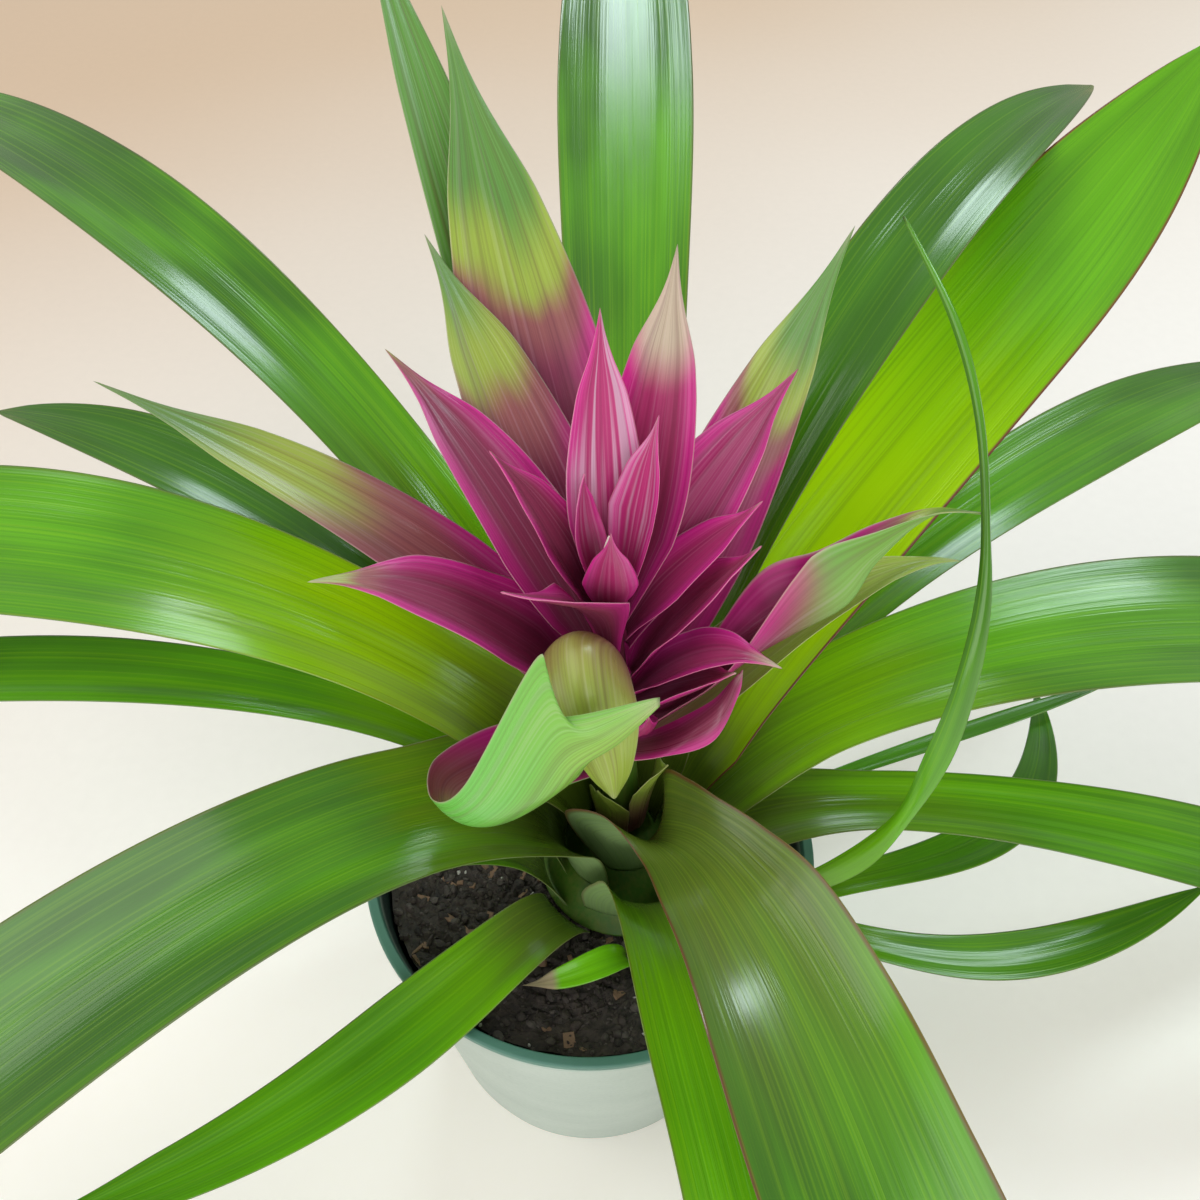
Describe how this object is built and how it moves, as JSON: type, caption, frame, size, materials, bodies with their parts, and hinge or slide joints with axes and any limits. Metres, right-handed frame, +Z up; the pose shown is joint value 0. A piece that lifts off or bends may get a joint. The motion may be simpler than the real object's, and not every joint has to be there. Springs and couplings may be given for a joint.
{
  "type": "potted guzmania",
  "caption": "Arching strap leaves and a spire of pointed magenta bracts in a round tapered pot of potting mix: a house plant that stands on a table or sill",
  "frame": {"origin": "the middle of the pot's underside", "axes": "+Z up out of the pot; the viewer's side is -Y, and the tallest leaf stands at +Y"},
  "size_m": [0.6166, 0.652, 0.3182],
  "materials": {
    "leaf": "smooth, waxy green leaf",
    "bract": "smooth magenta bract, green towards the tip of the larger ones",
    "stem": "pale olive stem",
    "bud": "cream petal",
    "mix": "damp dark potting mix",
    "pot": "thin moulded plastic, pale grey green outside, dark teal lip and inside"
  },
  "bodies": {
    "root": {"low_left_leaf": "leaf", "thin_right_leaf": "leaf", "under_left_leaf": "leaf", "right_low_leaf": "leaf", "under_front_leaf": "leaf", "far_right_leaf": "leaf", "left_low_leaf": "leaf", "twisted_left_leaf": "leaf", "broad_left_leaf": "leaf", "broad_right_leaf": "leaf", "upper_right_leaf": "leaf", "back_left_leaf": "leaf", "broad_front_leaf": "leaf", "upper_left_leaf": "leaf", "back_leaf": "leaf", "back_right_leaf": "leaf", "shoot_low_leaf": "leaf", "shoot_hooked_leaf": "leaf", "shoot_strap_leaf": "leaf", "front_shoot_leaf": "leaf", "left_sheath_bract": "bract", "right_sheath_bract": "bract", "front_bract": "bract", "tall_back_bract": "bract", "low_right_bract": "bract", "left_bract": "bract", "cupped_bract": "bract", "right_bract": "bract", "back_right_bract": "bract", "back_left_bract": "bract", "curled_bract": "bract", "lower_left_bract": "bract", "inner_low_right_bract": "bract", "inner_right_bract": "bract", "inner_back_left_bract": "bract", "upper_low_right_bract": "bract", "inner_left_bract": "bract", "nodding_left_bract": "bract", "nodding_bract": "bract", "inner_back_right_bract": "bract", "inner_front_bract": "bract", "upper_right_bract": "bract", "inner_back_bract": "bract", "upper_left_bract": "bract", "crown_back_bract": "bract", "crown_right_bract": "bract", "crown_front_bract": "bract", "crown_left_bract": "bract", "stem": "stem", "flower_bud": "bud", "potting_mix": "mix", "pot": "pot"}
  },
  "joints": []
}
